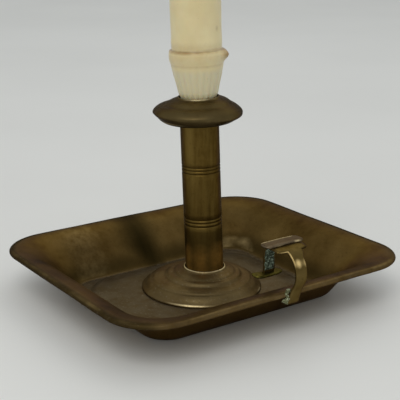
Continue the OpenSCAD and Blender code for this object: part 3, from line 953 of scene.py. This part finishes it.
def build_crust():
    """Green crust on the strap's inner leg, and old solder where its foot meets the rim."""
    face_x = IN_X + STRAP_T / 2
    crust = crust_patch("green_crust", (face_x, HANDLE_Y - 0.5 * MM), 3.2 * MM, 30.6 * MM, 46.0 * MM,
                        2.3, 0.9 * MM)
    finish_piece(crust, VERDIGRIS, "holder", "handle_brass")
    rim_x = TRAY_C.x + RIM_HX
    blobs = [((1.1, -2.7, 21.2), (0.9, 1.7, 1.0)), ((1.3, -0.9, 22.3), (1.0, 1.3, 1.6)),
             ((0.8, -1.9, 24.8), (1.0, 1.0, 1.3)), ((0.5, 0.1, 26.2), (1.0, 1.3, 0.9)),
             ((0.7, -0.9, 20.0), (0.9, 1.2, 1.1))]
    for i, (place, size) in enumerate(blobs):
        centre = (rim_x + place[0] * MM, place[1] * MM, place[2] * MM)
        piece = lump(f"rim_solder_{i + 1}", centre, [q * MM for q in size], 5.3 + 2.1 * i, 0.75)
        finish_piece(piece, SOLDER, "holder", "handle_brass")


# ---------------------------------------------------------------------------------------
# Candle
# ---------------------------------------------------------------------------------------
def build_candle():
    bottom = 101.4 * MM
    m = MM
    profile = [(0.0, bottom)] + rounded([
        (8.3 * m, bottom), (8.9 * m, 103.0 * m), (9.4 * m, 110 * m), (9.9 * m, 115.4 * m),
        (10.5 * m, 116.9 * m), (11.1 * m, 118.2 * m), (11.9 * m, 121.8 * m), (12.7 * m, 125.2 * m),
        (13.5 * m, 128.2 * m),
        (14.1 * m, 130.9 * m), (14.5 * m, 133.0 * m), (14.7 * m, 134.4 * m), (15.3 * m, 136.2 * m),
        (15.6 * m, 138.2 * m), (15.5 * m, 140.6 * m), (15.2 * m, 141.9 * m), (14.5 * m, 142.3 * m),
        (13.75 * m, 142.0 * m), (13.85 * m, 143.2 * m), (14.0 * m, 145 * m),
        (13.95 * m, 150 * m), (13.95 * m, 170 * m), (13.9 * m, 190 * m), (13.9 * m, 200 * m),
        (13.6 * m, 203.4 * m), (12.6 * m, 204.8 * m), (11.0 * m, 204.3 * m), (8.0 * m, 201.4 * m),
        (3.0 * m, 200.0 * m)], 1.0 * MM) + [(0.0, 200.0 * m)]
    flutes = 20
    side, front = across_axis(STEM_UP)
    drip_turn = math.atan2(-LEFTWARDS.dot(front), -LEFTWARDS.dot(side)) - 0.25
    base, stain, rows = [], [], []
    steps = 240
    for r, z in profile:
        row = []
        for i in range(steps):
            turn = 2 * math.pi * i / steps
            cut = smooth((z - 103 * m) / (6 * m)) * smooth((133.5 * m - z) / (5 * m))
            groove = abs(math.sin(flutes * turn / 2)) ** 1.1
            rr = r - cut * 0.42 * m * (1 - groove)
            away = (turn - drip_turn + math.pi) % (2 * math.pi) - math.pi
            drip = smooth(1 - abs(away) / 0.42) * bump(z, 139.4 * m, 4.4 * m)
            rr += 2.4 * m * drip
            if z > 130 * m:
                p = (math.cos(turn), math.sin(turn), z * 60)
                rr += 0.22 * m * wobble(p, 0.9, 4.0) + 0.10 * m * wobble(p, 3.0, 1.0)
            crease = 142.3 * m + 0.2 * m * math.sin(turn * 2 + 1.3)
            spot = bump(from_front(turn), -54, 8) * bump(z, 154.0 * m, 2.2 * m)
            row.append(stem_point(max(rr, 0.0) if r > 0 else 0.0, turn, z))
            base.append(smooth((133 * m - z) / (3 * m)))
            stain.append(min(0.9, 0.70 * bump(z, crease, 1.1 * m) + 0.75 * drip
                             + 0.16 * bump(z, 138.8 * m, 4.5 * m) + 0.20 * bump(z, 134.2 * m, 1.2 * m)
                             + 0.16 * bump(z, 144.5 * m, 3.5 * m) + 0.35 * spot))
        rows.append(row)
    body = grid_mesh("candle_wax_body", rows, close_rows=False, marks={"base": base, "stain": stain})
    return finish_piece(weld(body), WAX, "candle", "wax", "candle")


def weld(obj):
    """Joins vertices that lie on each other and turns the faces outwards."""
    bm = bmesh.new()
    bm.from_mesh(obj.data)
    bmesh.ops.remove_doubles(bm, verts=bm.verts, dist=1e-6)
    bmesh.ops.recalc_face_normals(bm, faces=bm.faces)
    bm.to_mesh(obj.data)
    bm.free()
    return obj


def build_wick():
    """A twisted cotton wick, a little bent over at the top."""
    rows = []
    levels, around_wick = 25, 18
    low, high = 196.0 * MM, 208.6 * MM
    for k in range(levels):
        z = mix(low, high, k / (levels - 1))
        row = []
        for i in range(around_wick):
            turn = 2 * math.pi * i / around_wick
            r = 0.95 * MM * (1 + 0.16 * math.cos(3 * (turn + k * 0.5))) * (1.0 if k < 22 else 0.8)
            p = stem_point(r, turn, z)
            lean = smooth((z - 202 * MM) / (7 * MM)) * 0.9 * MM
            row.append((p.x + lean, p.y, p.z))
        rows.append(row)
    wick = grid_mesh("cotton_wick", rows, close_rows=False)
    cap_ends(wick, around_wick, levels)
    return finish_piece(face_out(wick), CHARRED, "candle", "wick", "wick")


build_tray()
build_dome()
build_stem()
build_pan()
build_strap()
build_tail()
build_thumb_plate()
build_crust()
build_candle()
build_wick()
for hidden_node in ("rim_wire", "guide_disc", "ejector_plate", "ejector_button"):
    dress(hidden_node, INNER_BRASS)
dress("ejector_rod", IRON)


# ---------------------------------------------------------------------------------------
# Floor, lights and camera
# ---------------------------------------------------------------------------------------
def build_stage():
    mat, tree, shader = new_material("pale_table")
    color = ramp(tree, noise_node(tree, 3.0, 3.0, 0.5),
                 [(0.3, (0.80, 0.80, 0.785)), (0.7, (0.84, 0.84, 0.825))])
    tree.links.new(color, shader.inputs["Base Color"])
    shader.inputs["Roughness"].default_value = 0.55
    reach = 12.0
    corners = [(-reach, -reach, 0), (reach, -reach, 0), (reach, reach, 0), (-reach, reach, 0)]
    table = make_mesh("table_top", corners, [(0, 1, 2, 3)])
    table.location.z = -0.1 * MM
    table.data.materials.append(mat)


def soft_light(name, place, target, size, power, color=(1, 1, 1)):
    data = bpy.data.lights.new(name, "AREA")
    data.shape = "RECTANGLE"
    data.size, data.size_y = size
    data.energy = power
    data.color = color
    obj = add_object(name, data)
    obj.location = place
    obj.rotation_euler = (Vector(target) - Vector(place)).to_track_quat("-Z", "Y").to_euler()


def around(azimuth, elevation, distance, target):
    """A place at a distance from the target. Azimuth is in degrees from -Y towards +X."""
    a, e = math.radians(azimuth), math.radians(elevation)
    back = Vector((math.sin(a) * math.cos(e), -math.cos(a) * math.cos(e), math.sin(e)))
    return Vector(target) + back * distance


def build_lights():
    world = bpy.data.worlds.new("studio")
    bpy.context.scene.world = world
    world.use_nodes = True
    background = world.node_tree.nodes["Background"]
    background.inputs["Color"].default_value = (0.80, 0.82, 0.81, 1)
    background.inputs["Strength"].default_value = 0.70
    middle = (0, 0, 0.06)
    soft_light("key_soft", around(40, 48, 1.2, middle), middle, (0.7, 0.7), 3.6, (1.0, 0.98, 0.94))
    soft_light("back_soft", around(215, 50, 1.4, middle), middle, (1.2, 0.8), 1.5)


def build_camera():
    """The fitted camera: it aims near the tray's middle, 55.5 mm up."""
    target = Vector((TRAY_C.x - 0.26 * MM, TRAY_C.y - 0.37 * MM, 55.54 * MM))
    data = bpy.data.cameras.new("view_camera")
    data.sensor_width = 36.0
    data.lens = 88.84
    data.clip_start = 0.01
    obj = add_object("view_camera", data)
    obj.location = around(54.97, 16.92, 566.6 * MM, target)
    obj.rotation_euler = (target - obj.location).to_track_quat("-Z", "Y").to_euler()
    bpy.context.scene.camera = obj
    bpy.context.scene.view_settings.view_transform = "Standard"


build_stage()
build_lights()
build_camera()
